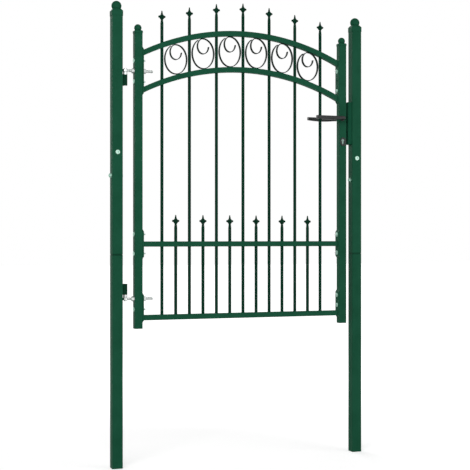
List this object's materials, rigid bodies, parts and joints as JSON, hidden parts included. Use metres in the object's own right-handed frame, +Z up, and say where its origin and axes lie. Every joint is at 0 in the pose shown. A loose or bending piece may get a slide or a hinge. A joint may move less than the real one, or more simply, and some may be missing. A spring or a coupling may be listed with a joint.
{
  "type": "garden gate",
  "caption": "Single-leaf garden gate of square tube and round bars, with two arched top rails, scroll rings and spear points, hung on pins between two ball-topped posts.",
  "frame": {"origin": "centre of the hinge post's foot, on the end of the post", "axes": "+X across the gate from the hinge post to the lock post, +Y from the front to the back, +Z up"},
  "size_m": [1.0435, 0.101, 1.776],
  "materials": {
    "green_paint": "powder coat, satin, fine orange peel",
    "zinc": "bright zinc plate",
    "black_lever": "satin black powder coat",
    "black_plastic": "moulded, matt",
    "nickel": "satin nickel",
    "lock_steel": "plain zinc-plated steel"
  },
  "bodies": {
    "posts": {"hinge_post_lower": "green_paint", "hinge_post_upper": "green_paint", "lock_post_lower": "green_paint", "lock_post_upper": "green_paint", "post_sleeves": "green_paint", "post_foot_plugs": "black_plastic", "hinge_post_cap": "green_paint", "lock_post_cap": "green_paint", "upper_hinge_block": "green_paint", "lower_hinge_block": "green_paint", "upper_hinge_pin": "zinc", "lower_hinge_pin": "zinc", "lock_keeper": "green_paint", "post_front_bolts": "zinc", "post_side_bolts": "zinc"},
    "leaf": {"left_stile": "green_paint", "right_stile": "green_paint", "left_stile_cap": "green_paint", "right_stile_cap": "green_paint", "stile_foot_plugs": "black_plastic", "left_upper_plate": "green_paint", "left_middle_plate": "green_paint", "left_lower_plate": "green_paint", "right_upper_plate": "green_paint", "right_middle_plate": "green_paint", "right_lower_plate": "green_paint", "upper_arch_rail": "green_paint", "lower_arch_rail": "green_paint", "middle_rail": "green_paint", "bottom_rail": "green_paint", "long_bars": "green_paint", "short_bars": "green_paint", "long_bar_spears": "green_paint", "short_bar_spears": "green_paint", "scroll_rings": "green_paint", "upper_eye_bolt": "zinc", "lower_eye_bolt": "zinc", "eye_bolt_nuts": "zinc", "lock_case": "lock_steel", "lock_cylinder": "nickel", "lever_roses": "black_plastic", "cylinder_escutcheons": "black_plastic"},
    "levers": {"lever_spindle": "lock_steel", "front_lever": "black_lever", "back_lever": "black_lever"}
  },
  "joints": [
    {"name": "gate_swing", "type": "hinge", "parent": "posts", "child": "leaf", "pos_m": [0.034, 0, 0], "axis": [0, 0, 1], "range_deg": [-90, 90]},
    {"name": "lever_turn", "type": "hinge", "parent": "leaf", "child": "levers", "pos_m": [0.927, 0, 1.3415], "axis": [0, -1, 0], "range_deg": [0, 40], "stiffness_Nm_per_rad": 1.2, "springref_deg": -20.05}
  ]
}
